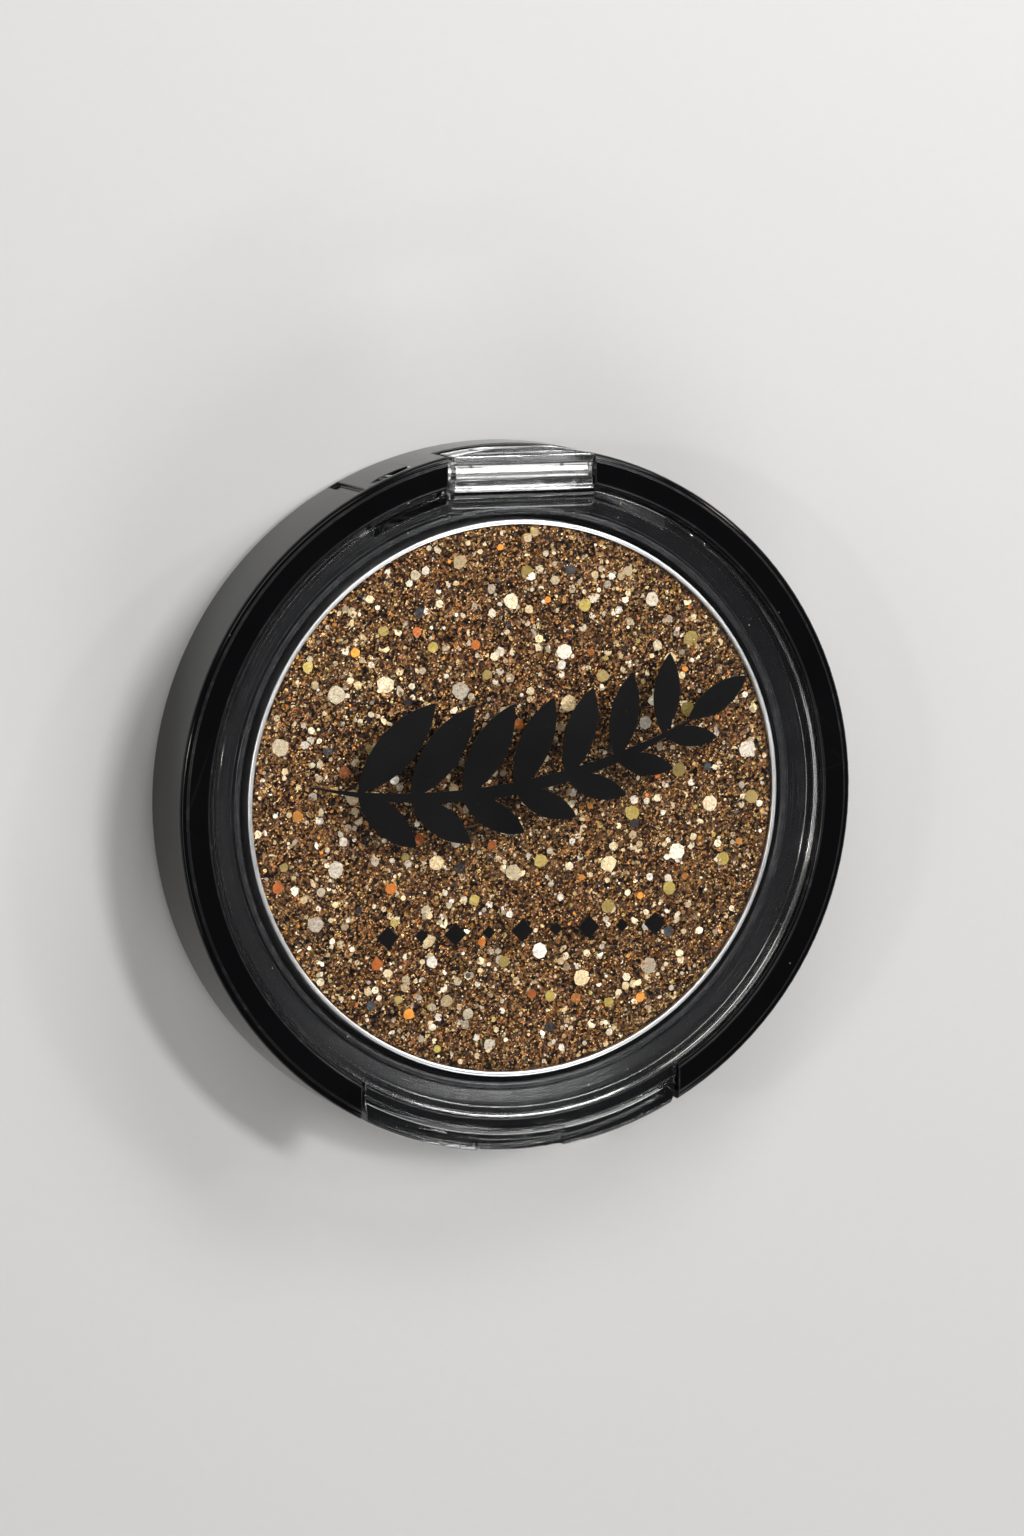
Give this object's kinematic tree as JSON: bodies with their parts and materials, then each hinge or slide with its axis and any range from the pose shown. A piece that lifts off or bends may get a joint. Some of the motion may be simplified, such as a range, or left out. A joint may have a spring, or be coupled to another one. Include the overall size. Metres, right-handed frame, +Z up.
{
  "type": "eyeshadow palette",
  "caption": "Round pressed-glitter eyeshadow compact: black case with a raised rim, clear hinged lid nested in it, thumb tab, metal pan of glitter.",
  "frame": {"origin": "centre of the foot ring, on the surface that the closed compact lies on", "axes": "+Z up out of the closed lid, +Y towards the hinge, -Y towards the thumb tab, +X to the right seen from above with the hinge away"},
  "size_m": [0.06, 0.06, 0.0101],
  "materials": {
    "case_gloss_black": "high gloss moulded black ABS",
    "label_paper": "blank matt paper sticker",
    "tray_satin_black": "satin moulded black ABS",
    "glue_film": "dried pan glue",
    "pan_aluminium": "bright drawn aluminium",
    "pressed_glitter": "pressed fine bronze and gold glitter",
    "flake_champagne": "metallised film, champagne",
    "flake_copper": "metallised film, copper",
    "flake_olive": "tinted film, olive gold",
    "flake_black": "tinted film, black",
    "lid_clear": "crystal clear moulded acrylic",
    "print_black": "screen printed black ink",
    "pin_steel": "cut and tumbled steel rod"
  },
  "bodies": {
    "case": {"base_shell": "case_gloss_black", "base_label": "label_paper", "inner_tray": "tray_satin_black", "pan_adhesive": "glue_film", "pan": "pan_aluminium", "glitter_cake": "pressed_glitter", "champagne_flakes": "flake_champagne", "copper_flakes": "flake_copper", "olive_flakes": "flake_olive", "black_flakes": "flake_black", "hinge_pin": "pin_steel"},
    "lid": {"lid": "lid_clear", "lid_print": "print_black"}
  },
  "joints": [
    {"name": "lid_hinge", "type": "hinge", "parent": "case", "child": "lid", "pos_m": [0, 0.0278, 0.0079], "axis": [-1, 0, 0], "range_deg": [0, 130]}
  ]
}
